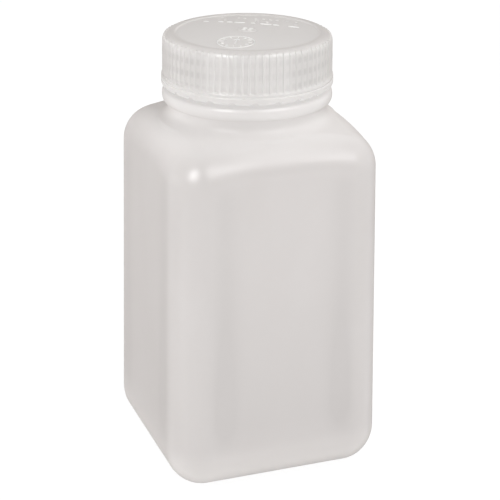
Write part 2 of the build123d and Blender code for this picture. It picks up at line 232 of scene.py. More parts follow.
    # bore, flare and inside
    fz = float(dome(np.array(R0), WALL)) - 0.2
    for z in np.linspace(RIM_Z - 1.2, fz + 4.4, 16):
        add([(BORE_R, z)], 6)
    P = [(BORE_R, fz + 4.4), (BORE_R, fz + 1.2), (BORE_R + 1.2, fz + 0.15), (36.0, float(dome(np.array(36.0), WALL)))]
    for t in np.linspace(0, 1, 12)[1:-1]:
        b = [(1 - t) ** 3, 3 * t * (1 - t) ** 2, 3 * t * t * (1 - t), t ** 3]
        add([(sum(w * p[0] for w, p in zip(b, P)), sum(w * p[1] for w, p in zip(b, P)))], 6)
    shi = shoulder(WALL)
    add(shi[::-1], 7)
    rb = RB - BASE_T
    low = BASE_T + rb
    for k in np.linspace(0, 1, 20)[1:-1]:
        add([(rsq(th, HALF - WALL, RC - WALL), shi[0][1] + (low - shi[0][1]) * k)], 7)
    for a in np.radians(np.linspace(90, 0, 12)):
        d = WALL + rb * (1 - math.sin(a))
        add([(rsq(th, HALF - d, RC - d), BASE_T + rb * (1 - math.cos(a)))], 7)
    add([(rsq(th, 27.6, 8.8), BASE_T + 0.05), (rsq(th, 26.6, 8.4), BASE_T + 0.9), (rsq(th, 25.4, 7.6), 3.9),
         (rsq(th, 24.4, 7.0), 4.3), (rsq(th, 18, 6.0), 4.3), (rsq(th, 9, 5.0), 4.3), (None, 4.3)], 7)
    v, f, tag = lathe(rings, n)
    return v, f, [zone[t] for t in tag]


# ------------------------------------------------------------------ the cap
RIBS = 76
CAP_PHASE = 0.2408      # where the thread bands stand round the skirt, in turns
CAP_TOP, CAP_Z0 = 177.3, 158.65
CAP_ROOT, CAP_RIB, CAP_LIP, CAP_IN = 35.45, 35.95, 36.30, 34.0
DISC_R, DISC_H = 30.2, 0.55
CROWN, MARK_DIR = 1.25, -34.3


def crown_z(r):
    """Height of the domed cap plate over the radius."""
    big = (DISC_R ** 2 + CROWN ** 2) / (2 * CROWN)
    return CAP_TOP - DISC_H + CROWN - big + math.sqrt(big * big - r * r)


def cap_mesh(per=16):
    n = RIBS * per
    th = np.arange(n) * TAU / n
    # one rib: raised band with soft flanks, pointed where it runs out
    ph = (th * RIBS / TAU) % 1.0
    ph = np.minimum(ph, 1 - ph)

    def rib(width, soft=0.10):
        return smooth01((width - ph) / soft + 0.5)

    rings, zone = [], []

    def add(r, z, k=0):
        rings.append((r, z)); zone.append(k)

    # skirt from the lower lip
    add(CAP_IN + 0.3, CAP_Z0)
    add(CAP_LIP - 0.34, CAP_Z0)
    add(CAP_LIP - 0.12, CAP_Z0 + 0.06)
    add(CAP_LIP, CAP_Z0 + 0.3)
    add(CAP_LIP, CAP_Z0 + 0.8)
    add(CAP_LIP - 0.06, CAP_Z0 + 1.1)
    # step into the ribbed part: gaps sit back, ribs run out on the lip
    for t, z in ((0.15, 1.28), (0.45, 1.45), (0.8, 1.62), (1.0, 1.85)):
        gap = CAP_LIP - 0.06 - (CAP_LIP - 0.06 - CAP_ROOT) * t
        crest = CAP_LIP - 0.06 - (CAP_LIP - 0.06 - CAP_RIB) * t
        add(gap + (crest - gap) * rib(0.18, 0.09), CAP_Z0 + z)
    z_a = CAP_TOP - 3.1
    for z in np.linspace(CAP_Z0 + 2.3, z_a, 16):
        add(CAP_ROOT + (CAP_RIB - CAP_ROOT) * rib(0.18, 0.09), z)
    # round over the top edge: ribs narrow to points at the rim
    for a in list(np.arange(3, 50, 2.6)) + list(np.linspace(54, 90, 9)):
        ar = math.radians(a)
        tip = max(0.0, 1 - max(0.0, (a - 20) / 26.0) ** 2)
        w = 0.18 * math.sqrt(tip) if tip > 0 else -0.2
        hgt = (CAP_RIB - CAP_ROOT) * (1.0 if a < 34 else float(smooth01((48 - a) / 14.0)))
        rr, zz = CAP_ROOT - 3.1 + 3.1 * math.cos(ar), z_a + 3.1 * math.sin(ar)
        h = hgt * rib(w, 0.09)
        add(rr + h * math.cos(ar), zz + h * math.sin(ar))
    # flat rim, then down into the sunk disc
    add(31.4, CAP_TOP)
    add(DISC_R + 0.8, CAP_TOP)
    add(DISC_R + 0.5, CAP_TOP - 0.06)
    add(DISC_R + 0.2, CAP_TOP - DISC_H + 0.1)
    add(DISC_R - 0.1, CAP_TOP - DISC_H + 0.02)
    for r in (29.0, 27.0, 24.0, 21.0, 18.0, 15.0, 12.0, 9.0, 6.0, 3.0):
        add(r, crown_z(r))
    rings.append((None, crown_z(0))); zone.append(0)
    outer = len(rings)
    # underside
    rings.append((None, 175.30 + 1.15)); zone.append(1)
    for r in (6.0, 14.0, 22.0, 28.2, 32.5, CAP_IN - 0.3):
        add(r, 175.30 + 1.15 * max(0.0, 1 - (r / 28.2) ** 2), 1)
    add(CAP_IN, 175.0, 1)
    z0 = THREAD_Z0 + PITCH / 2 - 1.9
    a0 = 205.0 + 360.0 * (z0 - (THREAD_Z0 - PITCH / 2 + 0.55)) / PITCH
    for z in np.arange(174.7, CAP_Z0 + 1.2, -0.32):
        h = helix_height(th, np.full(n, z), z0, 1.75, a0, 2.4, 1.2, CAP_IN - 32.2)
        add(CAP_IN - h, z, 1)
    add(CAP_IN, CAP_Z0 + 0.4, 1)
    v1, f1, t1 = lathe(rings[:outer], n)
    v2, f2, t2 = lathe(rings[outer:], n)
    off = len(v1)
    faces = list(f1) + [tuple(off + i for i in f) for f in f2]
    # join the last inner ring to the first outer ring
    last = off + len(v2) - n
    for i in range(n):
        j = (i + 1) % n
        faces.append((last + i, last + j, j, i))
    return list(v1) + list(v2), faces, [0] * len(f1) + [1] * (len(f2) + n)


# ------------------------------------------------------------------ tamper band
def band_mesh(n=24 * 30):
    th = np.arange(n) * TAU / n
    deg = np.degrees(th) % 15.0
    dist = np.minimum(deg, 15.0 - deg) * math.pi / 180 * 35.4     # mm along the band from a notch
    notch = np.sqrt(np.clip(1 - (dist / 1.65) ** 2, 0, 1)) * 1.15
    bdeg = (np.degrees(th) - 7.5) % 30.0
    bdist = np.minimum(bdeg, 30.0 - bdeg) * math.pi / 180 * 35.4
    stub = 0.22 * smooth01((0.55 - bdist) / 0.3)
    zb, zt = 155.60, 158.35
    rings = []

    def add(r, z):
        rings.append((r, z))

    add(34.72, zb + notch + 0.3)
    add(34.95, zb + notch)
    add(35.3, zb + notch)
    for a in np.radians(np.linspace(-80, 0, 8)):
        r = 35.35 + 1.0 * math.cos(a)
        z = zb + 1.15 + 1.15 * math.sin(a)
        add(np.maximum(r - 0.0 * notch, 35.0), np.maximum(z, zb + notch * 1.02))
    add(36.35, 157.4)
    add(36.36, zt - 0.35)
    add(36.30, zt - 0.12)
    add(36.15, zt + stub)
    add(35.0, zt + stub)
    add(34.78, zt - 0.15)
    add(34.70, 157.3)
    add(34.70, zb + 1.75)
    v, f, tag = lathe(rings, n, close=True)
    # retaining flaps, one over each notch, folded in and up under the bead
    for k in range(24):
        a0 = math.radians(15.0 * k)
        sec = [(34.95, 156.95), (34.95, 157.75), (34.4, 157.55), (32.9, 157.36), (32.62, 157.14), (32.72, 156.72), (33.4, 156.62), (34.3, 156.68)]
        base = len(v)
        for w in (-1.3, -1.15, 0.0, 1.15, 1.3):
            shrink = 0.12 if abs(w) > 1.2 else 0.0
            cx = sum(p[0] for p in sec) / len(sec); cz = sum(p[1] for p in sec) / len(sec)
            for r, z in sec:
                r2, z2 = r + (cx - r) * shrink, z + (cz - z) * shrink
                v.append((r2 * math.cos(a0) - w * math.sin(a0), r2 * math.sin(a0) + w * math.cos(a0), z2))
        m = len(sec)
        for j in range(4):
            for i in range(m):
                i2 = (i + 1) % m
                f.append((base + j * m + i, base + (j + 1) * m + i, base + (j + 1) * m + i2, base + j * m + i2))
        f.append(tuple(base + i for i in range(m)))
        f.append(tuple(base + 4 * m + i for i in reversed(range(m))))
    return v, f


# ------------------------------------------------------------------ marks on the cap
def ridge_loop(v, f, path, width, z, high, closed=False):
    """A rounded bar along a flat path; closed solid."""
    p = np.asarray(path, float)
    m = len(p)
    if closed:
        t = np.roll(p, -1, 0) - np.roll(p, 1, 0)
    else:
        t = np.gradient(p, axis=0)
    t /= np.linalg.norm(t, axis=1)[:, None]
    nrm = np.c_[-t[:, 1], t[:, 0]]
    prof = [(-1.0, -0.35), (-0.94, 0.35), (-0.72, 0.86), (0.0, 1.0), (0.72, 0.86), (0.94, 0.35), (1.0, -0.35)]
    q = len(prof)
    base = len(v)
    high_of = z if callable(z) else (lambda x, y: z)
    for i in range(m):
        k = 1.0
        if not closed and i in (0, m - 1):
            k = 0.55
        for a, b in prof:
            x = p[i] + nrm[i] * a * width / 2 * k
            v.append((x[0], x[1], high_of(x[0], x[1]) + b * high * (1.0 if k == 1.0 else (0.7 if b > 0 else 1.0))))
    for i in range(m if closed else m - 1):
        j = (i + 1) % m
        for a in range(q):
            b = (a + 1) % q
            f.append((base + i * q + a, base + i * q + b, base + j * q + b, base + j * q + a))
    if not closed:
        f.append(tuple(base + a for a in reversed(range(q))))
        f.append(tuple(base + (m - 1) * q + a for a in range(q)))


def arc(cx, cy, r, a0, a1, k):
    t = np.radians(np.linspace(a0, a1, k))
    return np.c_[cx + r * np.cos(t), cy + r * np.sin(t)]


def button(v, f, cx, cy, r, z, high, n=48):
    """Low round button with a soft edge; closed solid."""
    base = len(v)
    prof = [(1.0, -0.4), (1.0, 0.15), (0.93, 0.55), (0.78, 0.84), (0.5, 0.97), (0.2, 1.0)]
    for q, h in prof:
        for i in range(n):
            t = TAU * i / n
            v.append((cx + r * q * math.cos(t), cy + r * q * math.sin(t), z + h * high))
    for k in range(len(prof) - 1):
        for i in range(n):
            j = (i + 1) % n
            a, b = base + k * n, base + (k + 1) * n
            f.append((a + i, a + j, b + j, b + i))
    f.append(tuple(base + i for i in reversed(range(n))))
    f.append(tuple(base + (len(prof) - 1) * n + i for i in range(n)))


def marks_mesh():
    v, f = [], []

    def zz(x, y):
        return crown_z(math.hypot(x, y))
    ux, uy = math.cos(math.radians(MARK_DIR)), math.sin(math.radians(MARK_DIR))

    def at(x, y):
        return (x * ux - y * uy, x * uy + y * ux)
    h = 0.26
    # gate at the centre: a low button with four pips
    button(v, f, 0, 0, 4.1, zz(0, 0), 0.22)
    plain = len(f)
    for k in range(4):
        a = math.radians(MARK_DIR + 45 + 90 * k)
        button(v, f, 1.75 * math.cos(a), 1.75 * math.sin(a), 0.95, zz(0, 0) + 0.2, 0.28, 20)
    pips = len(f) - plain
    # mould clock
    ca = math.radians(MARK_DIR - 90.0)
    cx, cy = 19.3 * math.cos(ca), 19.3 * math.sin(ca)
    ridge_loop(v, f, arc(cx, cy, 7.7, 0, 360, 97)[:-1], 0.45, zz, h * 0.8, True)
    for k in range(12):
        a = math.radians(30 * k)
        ridge_loop(v, f, [(cx + r * math.cos(a), cy + r * math.sin(a)) for r in (5.2, 5.7, 6.2, 6.7)], 0.5, zz, h)
    a = math.radians(60)
    ridge_loop(v, f, [(cx + r * math.cos(a), cy + r * math.sin(a)) for r in (-3.2, -1, 1, 3.5)], 0.7, zz, h)
    for sgn in (-1, 1):
        b = a + math.radians(150 * sgn)
        tip = (cx + 4.1 * math.cos(a), cy + 4.1 * math.sin(a))
        ridge_loop(v, f, [(tip[0] + r * math.cos(b), tip[1] + r * math.sin(b)) for r in (0, 0.8, 1.6, 2.4)], 0.6, zz, h)
    # three rows of plain dashes and pips
    for x0, x1 in ((-22.4, -20.2), (-15.9, -13.7), (-12.0, -9.6), (-8.7, -4.1), (-1.4, 0.4), (2.7, 7.5), (8.4, 10.8), (15.0, 19.6)):
        k = max(4, int((x1 - x0) / 0.6))
        ridge_loop(v, f, [at(x, 11.9) for x in np.linspace(x0, x1, k)], 1.3, zz, h)
    for x, y in [(x, 16.4) for x in (-14.0, -0.2, 4.6, 17.2)] + [(x, 21.4) for x in (-16.6, -9.2, -6.6, -1.5, 1.8, 4.9, 7.9, 12.4, 16.4)]:
        c = at(x, y)
        button(v, f, c[0], c[1], 0.62, zz(*c), h, 16)
    return v, f, [1] * plain + [2] * pips + [0] * (len(f) - plain - pips)


# ------------------------------------------------------------------ node helpers
class Tree:
    def __init__(self, name):
        self.mat = bpy.data.materials.new(name)
        self.mat.use_nodes = True
        self.nt = self.mat.node_tree
        self.nt.nodes.clear()
        self.out = self.nt.nodes.new("ShaderNodeOutputMaterial")
        self.tc = self.nt.nodes.new("ShaderNodeTexCoord")
        self.pos = self.tc.outputs["Object"]

    def n(self, kind, **kw):
        nd = self.nt.nodes.new(kind)
        for k, v in kw.items():
            setattr(nd, k, v)
        return nd

    def link(self, a, b):
        self.nt.links.new(a, b)

    def val(self, x):
        return x

    def math(self, op, a, b=None, c=None, clamp=False):
        nd = self.n("ShaderNodeMath", operation=op, use_clamp=clamp)
        for i, x in enumerate((a, b, c)):
            if x is None:
                continue
            if hasattr(x, "is_linked") or hasattr(x, "links"):
                self.link(x, nd.inputs[i])
            else:
                nd.inputs[i].default_value = x
        return nd.outputs[0]

    def sep(self):
        nd = self.n("ShaderNodeSeparateXYZ")
        self.link(self.pos, nd.inputs[0])
        return nd.outputs[0], nd.outputs[1], nd.outputs[2]

    def smooth(self, x, a, b):
        """0 below a, 1 above b, smooth between."""
        nd = self.n("ShaderNodeMapRange", interpolation_type="SMOOTHSTEP")
        self.link(x, nd.inputs["Value"])
        nd.inputs["From Min"].default_value = a
        nd.inputs["From Max"].default_value = b
        return nd.outputs["Result"]

    def toward_viewer(self):
        """How far the piece's wall, seen from its own axis, lies on the side of the viewer."""
        g = self.n("ShaderNodeNewGeometry")
        flat = self.n("ShaderNodeVectorMath", operation="MULTIPLY")
        self.link(g.outputs["Position"], flat.inputs[0])
        flat.inputs[1].default_value = (1, 1, 0)
        inc = self.n("ShaderNodeVectorMath", operation="MULTIPLY")
        self.link(g.outputs["Incoming"], inc.inputs[0])
        inc.inputs[1].default_value = (1, 1, 0)
        return self.dot(self.unit(flat.outputs[0]), self.unit(inc.outputs[0]))

    def unit(self, v):
        nd = self.n("ShaderNodeVectorMath", operation="NORMALIZE")
        self.link(v, nd.inputs[0])
        return nd.outputs[0]

    def dot(self, a, b):
        nd = self.n("ShaderNodeVectorMath", operation="DOT_PRODUCT")
        self.link(a, nd.inputs[0])
        self.link(b, nd.inputs[1])
        return nd.outputs["Value"]

    def edge_face(self):
        """1 on faces that look up, down or along the wall, 0 on the round wall itself."""
        g = self.n("ShaderNodeNewGeometry")
        flat = self.n("ShaderNodeVectorMath", operation="MULTIPLY")
        self.link(g.outputs["Position"], flat.inputs[0])
        flat.inputs[1].default_value = (1, 1, 0)
        c = self.math("ABSOLUTE", self.dot(self.unit(flat.outputs[0]), g.outputs["Normal"]))
        return self.math("SUBTRACT", 1.0, self.smooth(c, 0.35, 0.85))

    def noise(self, scale, detail=3.0, rough=0.5, stretch=None, seed=0.0):
        nd = self.n("ShaderNodeTexNoise", noise_dimensions="3D")
        mp = self.n("ShaderNodeMapping")
        mp.inputs["Location"].default_value = (seed, seed * 1.7, seed * 0.6)
        if stretch:
            mp.inputs["Scale"].default_value = stretch
        self.link(self.pos, mp.inputs[0])
        self.link(mp.outputs[0], nd.inputs["Vector"])
        nd.inputs["Scale"].default_value = scale
        nd.inputs["Detail"].default_value = detail
        nd.inputs["Roughness"].default_value = rough
        return nd.outputs[0]

    def ramp(self, x, stops):
        nd = self.n("ShaderNodeValToRGB")
        cr = nd.color_ramp
        cr.interpolation = "EASE"
        while len(cr.elements) < len(stops):
            cr.elements.new(0.5)
        for e, (p, c) in zip(cr.elements, stops):
            e.position = p
            e.color = (*c, 1.0)
        self.link(x, nd.inputs[0])
        return nd.outputs[0]

    def mix(self, f, a, b, mode="MIX"):
        nd = self.n("ShaderNodeMix", data_type="RGBA", blend_type=mode)
        for sock, x in ((nd.inputs[0], f), (nd.inputs[6], a), (nd.inputs[7], b)):
            if isinstance(x, (int, float)):
                sock.default_value = x
            elif isinstance(x, tuple):
                sock.default_value = (*x, 1.0)
            else:
                self.link(x, sock)
        return nd.outputs[2]

    def grey(self, x):
        nd = self.n("ShaderNodeCombineColor")
        for i in range(3):
            self.link(x, nd.inputs[i])
        return nd.outputs[0]

    def bump(self, h, dist, strength=1.0, normal=None):
        nd = self.n("ShaderNodeBump")
        nd.inputs["Strength"].default_value = strength
        nd.inputs["Distance"].default_value = dist
        self.link(h, nd.inputs["Height"])
        if normal is not None:
            self.link(normal, nd.inputs["Normal"])
        return nd.outputs[0]

    def shader(self, kind, **inputs):
        nd = self.n(kind)
        for k, v in inputs.items():
            s = nd.inputs[k.replace("_", " ")]
            if hasattr(v, "links"):
                self.link(v, s)
            elif isinstance(v, tuple):
                s.default_value = (*v, 1.0) if len(v) == 3 else v
            else:
                s.default_value = v
        return nd.outputs[0]

    def mixs(self, f, a, b):
        nd = self.n("ShaderNodeMixShader")
        if hasattr(f, "links"):
            self.link(f, nd.inputs[0])
        else:
            nd.inputs[0].default_value = f
        self.link(a, nd.inputs[1])
        self.link(b, nd.inputs[2])
        return nd.outputs[0]


def polythene(name, light, dark, rough, clear, through, bump_h, edge, mode):
    """Milky plastic: diffuse and light let through, a thin clear share, and a soft skin."""
    t = Tree(name)
    x, y, z = t.sep()
    cloud = t.noise(26.0, 3.0, 0.55, (1, 1, 0.35))
    speck = t.noise(420.0, 1.0, 0.4, None, 3.0)
    mott = t.noise(60.0, 2.0, 0.4, (1, 1, 0.6), 7.0)
    tone = t.math("ADD", t.math("MULTIPLY", cloud, 0.72), t.math("MULTIPLY", mott, 0.28))
    col = t.ramp(tone, [(0.30, dark), (0.52, tuple((a + b) / 2 for a, b in zip(light, dark))), (0.72, light)])
    rgh = t.math("ADD", t.math("MULTIPLY", mott, 0.06), rough - 0.03)
    nb = t.bump(t.math("ADD", t.math("MULTIPLY", speck, 0.15), t.math("MULTIPLY", mott, 0.85)), bump_h, 0.4)
    see = clear
    if mode == "cap":
        # painted shade: the skirt is darkened in blocks between the turns of the thread behind it, most between the
        # ribs, so lighter bands follow its helix
        ang = t.math("DIVIDE", t.math("ARCTAN2", y, x), TAU)
        turn = t.math("SUBTRACT", t.math("MULTIPLY", z, 1000.0 / PITCH), ang)
        ph = t.math("FRACT", t.math("ADD", turn, CAP_PHASE))
        tri = t.math("ABSOLUTE", t.math("SUBTRACT", ph, 0.5))
        gap = t.smooth(tri, 0.15, 0.40)            # 1 between the turns
        on = t.math("MULTIPLY", t.smooth(z, 0.1600, 0.1620), t.math("SUBTRACT", 1.0, t.smooth(z, 0.1742, 0.1762)))
        r = t.math("SQRT", t.math("ADD", t.math("MULTIPLY", x, x), t.math("MULTIPLY", y, y)))
        wall = t.smooth(r, 0.0336, 0.0346)
        gap = t.math("MULTIPLY", t.math("MULTIPLY", gap, on), wall)
        rib = t.math("FRACT", t.math("ADD", t.math("MULTIPLY", ang, RIBS), 0.5))
        rib = t.math("ABSOLUTE", t.math("SUBTRACT", rib, 0.5))       # 0 on a rib, 0.5 between
        between = t.smooth(rib, 0.16, 0.34)
        thread_shade = t.math("MULTIPLY", gap, t.math("ADD", 0.25, t.math("MULTIPLY", between, 0.75)))
        # painted light: on the side facing the viewer the dark blocks are weakened and the middle of the skirt is made
        # lighter
        side = t.toward_viewer()
        thread_shade = t.math("MULTIPLY", thread_shade, t.math("SUBTRACT", 1.0, t.math("MULTIPLY", t.smooth(side, 0.72, 0.94), 0.70)))
        facing_light = t.math("MULTIPLY", t.math("MULTIPLY", t.smooth(side, 0.835, 0.875), on), wall)
        col = t.mix(t.math("MULTIPLY", facing_light, 0.55), col, (0.88, 0.87, 0.862))
        col = t.mix(t.math("MULTIPLY", thread_shade, 0.16), col, (0.40, 0.392, 0.385))
        see = t.math("ADD", clear, t.math("MULTIPLY", thread_shade, 0.03))
        # painted shade: the sunk disc and the faces at the top that look upwards are darkened
        plate = t.math("MULTIPLY", t.math("SUBTRACT", 1.0, t.smooth(r, 0.0285, 0.0315)), t.smooth(z, 0.1758, 0.1763))
        up = t.n("ShaderNodeSeparateXYZ")
        t.link(t.n("ShaderNodeNewGeometry").outputs["Normal"], up.inputs[0])
        up = t.math("MULTIPLY", t.smooth(up.outputs[2], 0.45, 0.95), t.smooth(z, 0.1740, 0.1750))
        up = t.math("MULTIPLY", up, t.math("SUBTRACT", 1.0, plate))
        col = t.mix(t.math("MULTIPLY", up, 0.42), col, (0.58, 0.545, 0.525))
        col = t.mix(t.math("MULTIPLY", plate, 0.02), col, (0.58, 0.545, 0.525))
        # the skirt turns away from the light at its sides, the rim at its far side
        turned = t.math("MULTIPLY", t.math("SUBTRACT", 1.0, t.smooth(side, 0.05, 0.55)), t.smooth(r, 0.0330, 0.0350))
        col = t.mix(t.math("MULTIPLY", turned, 0.22), col, (0.48, 0.45, 0.435))
        far = t.math("MULTIPLY", t.math("SUBTRACT", 1.0, t.smooth(side, -0.9, 0.0)), t.smooth(r, 0.0305, 0.0345))
        col = t.mix(t.math("MULTIPLY", far, 0.55), col, (0.40, 0.37, 0.355))
    elif mode == "body":
        # darker in vertical bands on the flats near the corner rounds, more so low on the wall, and a little darker in
        # the middle of each face low down
        ax, ay = t.math("ABSOLUTE", x), t.math("ABSOLUTE", y)
        mn = t.math("MINIMUM", ax, ay)
        dz = t.math("DIVIDE", t.math("SUBTRACT", mn, 0.0255), 0.0055)
        thin = t.math("POWER", 2.718, t.math("MULTIPLY", t.math("MULTIPLY", dz, dz), -1.0))
        low = t.math("SUBTRACT", 1.0, t.smooth(z, 0.030, 0.110))
        walls = t.math("MULTIPLY", t.smooth(z, 0.012, 0.030), t.math("SUBTRACT", 1.0, t.smooth(z, 0.118, 0.134)))
        thin = t.math("MULTIPLY", t.math("MULTIPLY", thin, walls), t.math("ADD", 0.55, t.math("MULTIPLY", low, 0.45)))
        panel = t.math("MULTIPLY", t.math("MULTIPLY", walls, t.math("SUBTRACT", 1.0, t.smooth(mn, 0.022, 0.036))), t.math("MULTIPLY", low, 0.5))
        thin = t.math("ADD", thin, panel, clamp=True)
        col = t.mix(t.math("MULTIPLY", thin, 0.30), col, tuple(c * 0.72 for c in dark))
        # painted light: the shoulder top and the neck are made lighter
        neck = t.smooth(z, 0.1310, 0.1425)
        col = t.mix(t.math("MULTIPLY", neck, 0.85), col, (0.90, 0.885, 0.878))
        # painted light: the bottom round is made lighter, as from light thrown up by the floor
        foot_light = t.math("SUBTRACT", 1.0, t.smooth(z, 0.005, 0.020))
        col = t.mix(t.math("MULTIPLY", foot_light, 0.8), col, (0.90, 0.875, 0.86))
    # painted shade: the colour is darkened where the surface is seen edge-on
    lay = t.n("ShaderNodeLayerWeight")
    lay.inputs["Blend"].default_value = 0.5
    col = t.mix(t.math("MULTIPLY", t.smooth(lay.outputs["Facing"], 0.45, 1.0), edge), col, (0.50, 0.455, 0.43))
    dif = t.shader("ShaderNodeBsdfDiffuse", Color=col, Roughness=0.4, Normal=nb)
    tra = t.shader("ShaderNodeBsdfTranslucent", Color=col, Normal=nb)
    body = t.mixs(0.36, dif, tra)
    glass = t.shader("ShaderNodeBsdfTransparent", Color=(0.97, 0.965, 0.96))
    body = t.mixs(see, body, glass)
    lw = t.n("ShaderNodeFresnel")
    lw.inputs["IOR"].default_value = 1.51
    t.link(nb, lw.inputs["Normal"])
    gl = t.shader("ShaderNodeBsdfGlossy", Color=(1, 1, 1), Roughness=rgh, Normal=nb)
    graze = t.smooth(lay.outputs["Facing"], 0.60, 1.0)
    fac = t.math("MULTIPLY", lw.outputs[0], t.math("SUBTRACT", 0.85, t.math("MULTIPLY", graze, 0.35)))
    if mode == "body":      # throat and collar are duller than the walls
        dull = t.math("MULTIPLY", t.smooth(z, 0.1325, 0.1365), t.math("SUBTRACT", 1.0, t.smooth(z, 0.1450, 0.1490)))
        fac = t.math("MULTIPLY", fac, t.math("SUBTRACT", 1.0, t.math("MULTIPLY", dull, 0.60)))
    shown = t.mixs(fac, body, gl)
    # milky walls pass light on: what is behind them is lit through them
    lp = t.n("ShaderNodeLightPath")
    soft = t.math("MAXIMUM", lp.outputs["Is Shadow Ray"], lp.outputs["Is Diffuse Ray"])
    haze = t.shader("ShaderNodeBsdfTransparent", Color=(0.96, 0.955, 0.95))
    # painted light: emission lifts the shade in the slits, at cut edges and along the lips
    if mode == "body":
        slot = t.math("MULTIPLY", t.smooth(z, 0.1530, 0.1548), t.math("SUBTRACT", 1.0, t.smooth(z, 0.1596, 0.1602)))
        painted_glow = t.shader("ShaderNodeEmission", Color=(0.72, 0.70, 0.69), Strength=1.0)
        shown = t.mixs(t.math("MULTIPLY", slot, 0.75), shown, painted_glow)
    elif mode == "cap":
        # painted light: the cap's lip and the faces at its lower edge glow
        lip = t.math("MULTIPLY", t.math("SUBTRACT", 1.0, t.smooth(z, 0.1588, 0.1592)), t.edge_face())
        painted_glow = t.shader("ShaderNodeEmission", Color=(0.82, 0.80, 0.79), Strength=1.0)
        shown = t.mixs(t.math("MULTIPLY", lip, 0.8), shown, painted_glow)
    else:
        # painted light: cut faces and faces looking down glow on the band, marks and pips
        nz = t.n("ShaderNodeSeparateXYZ")
        t.link(t.n("ShaderNodeNewGeometry").outputs["Normal"], nz.inputs[0])
        under = t.math("SUBTRACT", 1.0, t.smooth(nz.outputs[2], -0.7, 0.0))
        cut = t.math("MAXIMUM", t.edge_face(), t.math("MULTIPLY", under, 0.8))
        cut = t.math("MULTIPLY", t.math("SUBTRACT", 1.0, t.smooth(z, 0.1590, 0.1600)), cut)
        painted_glow = t.shader("ShaderNodeEmission", Color=(0.84, 0.82, 0.81), Strength=1.0)
        shown = t.mixs(t.math("MULTIPLY", cut, 0.8), shown, painted_glow)
    t.link(t.mixs(t.math("MULTIPLY", soft, through), shown, haze), t.out.inputs["Surface"])
    t.mat.diffuse_color = (*light, 1.0)
    return t.mat


def foam(name):
    t = Tree(name)
    cells = t.n("ShaderNodeTexVoronoi", feature="F1")
    t.link(t.pos, cells.inputs["Vector"])
    cells.inputs["Scale"].default_value = 1500.0
    cloud = t.noise(60.0, 3.0, 0.5)
    col = t.ramp(cloud, [(0.3, (0.80, 0.79, 0.775)), (0.7, (0.90, 0.895, 0.885))])
    nb = t.bump(cells.outputs["Distance"], 0.00012, 0.7)
    rgh = t.math("ADD", t.math("MULTIPLY", cloud, 0.2), 0.62)
    t.link(t.shader("ShaderNodeBsdfPrincipled", Base_Color=col, Roughness=rgh, Normal=nb), t.out.inputs["Surface"])
    return t.mat


hdpe = polythene("body_plastic", (0.775, 0.752, 0.745), (0.745, 0.720, 0.71), 0.335, 0.03, 0.45, 0.00001, 0.50, "body")
pp = polythene("cap_plastic", (0.83, 0.817, 0.808), (0.80, 0.787, 0.778), 0.31, 0.06, 0.65, 0.00001, 0.55, "cap")
# painted light: the pips get a lighter copy of the cap plastic
ppg = polythene("pip_plastic", (0.92, 0.91, 0.90), (0.89, 0.88, 0.87), 0.31, 0.03, 0.80, 0.00001, 0.0, "band")
# painted light: the band gets a slightly lighter copy of the cap plastic
ppb = polythene("band_plastic", (0.84, 0.825, 0.815), (0.81, 0.795, 0.785), 0.31, 0.06, 0.80, 0.00001, 0.2, "band")
# painted shade: the raised marks get a slightly darker copy of the cap plastic
ppm = polythene("mark_plastic", (0.80, 0.785, 0.775), (0.77, 0.755, 0.745), 0.31, 0.06, 0.80, 0.00001, 0.1, "band")
liner_mat = foam("liner_foam")

# ------------------------------------------------------------------ pieces
v, f, zone = bottle_mesh()
bottle = new_piece("bottle_shell", v, f, "bottle", [hdpe], sharp=50)
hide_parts("bottle")
v, f, tag = cap_mesh()
cap = new_piece("screw_cap_shell", v, f, "cap", [pp], sharp=50)
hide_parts("screw_cap")
v, f, tag = marks_mesh()
marks = new_piece("screw_cap_marks", v, f, "cap", [ppm, pp, ppg], tag, sharp=60)
v, f = band_mesh()
band = new_piece("tamper_band_ring", v, f, "band", [ppb], sharp=50)
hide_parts("tamper_band")
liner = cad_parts["sealing_liner"]
liner.data.materials.clear()
liner.data.materials.append(liner_mat)

# ------------------------------------------------------------------ stage
def disc(name, r_mm, z_mm):
    n = 96
    v, f, _ = lathe([(r_mm * k, z_mm) for k in (1.0, 0.6, 0.3, 0.15, 0.08)] + [(None, z_mm)], n)
    me = bpy.data.meshes.new(name)
    me.from_pydata((np.asarray(v) * MM).tolist(), [], f)
    o = bpy.data.objects.new(name, me)
    bpy.context.scene.collection.objects.link(o)
    return o


CARD = 1.9
BACKDROP = 0.58
floor = disc("floor", 3500.0, -0.15)
ft = Tree("floor_paper")
cl = ft.noise(3.0, 2.0, 0.5)
fcol = ft.ramp(cl, [(0.3, (0.93, 0.93, 0.93)), (0.7, (0.95, 0.95, 0.95))])
fb = ft.bump(ft.noise(400.0, 2.0, 0.5), 0.0001, 0.15)
fd = ft.shader("ShaderNodeBsdfDiffuse", Color=fcol, Normal=fb)
lp = ft.n("ShaderNodeLightPath")
fe = ft.shader("ShaderNodeEmission", Color=(1.0, 1.0, 1.0), Strength=1.05)
# lit paper for the object; towards the camera the lit sheet is nearly paper white
mixf = ft.math("MULTIPLY", lp.outputs["Is Camera Ray"], 0.88)
base = ft.mixs(mixf, fd, fe)
# the sheet gives back a share of even light whatever stands on it
fe2 = ft.shader("ShaderNodeEmission", Color=(1.0, 0.995, 0.99), Strength=1.05)
base = ft.mixs(ft.math("MULTIPLY", lp.outputs["Is Diffuse Ray"], 0.85), base, fe2)
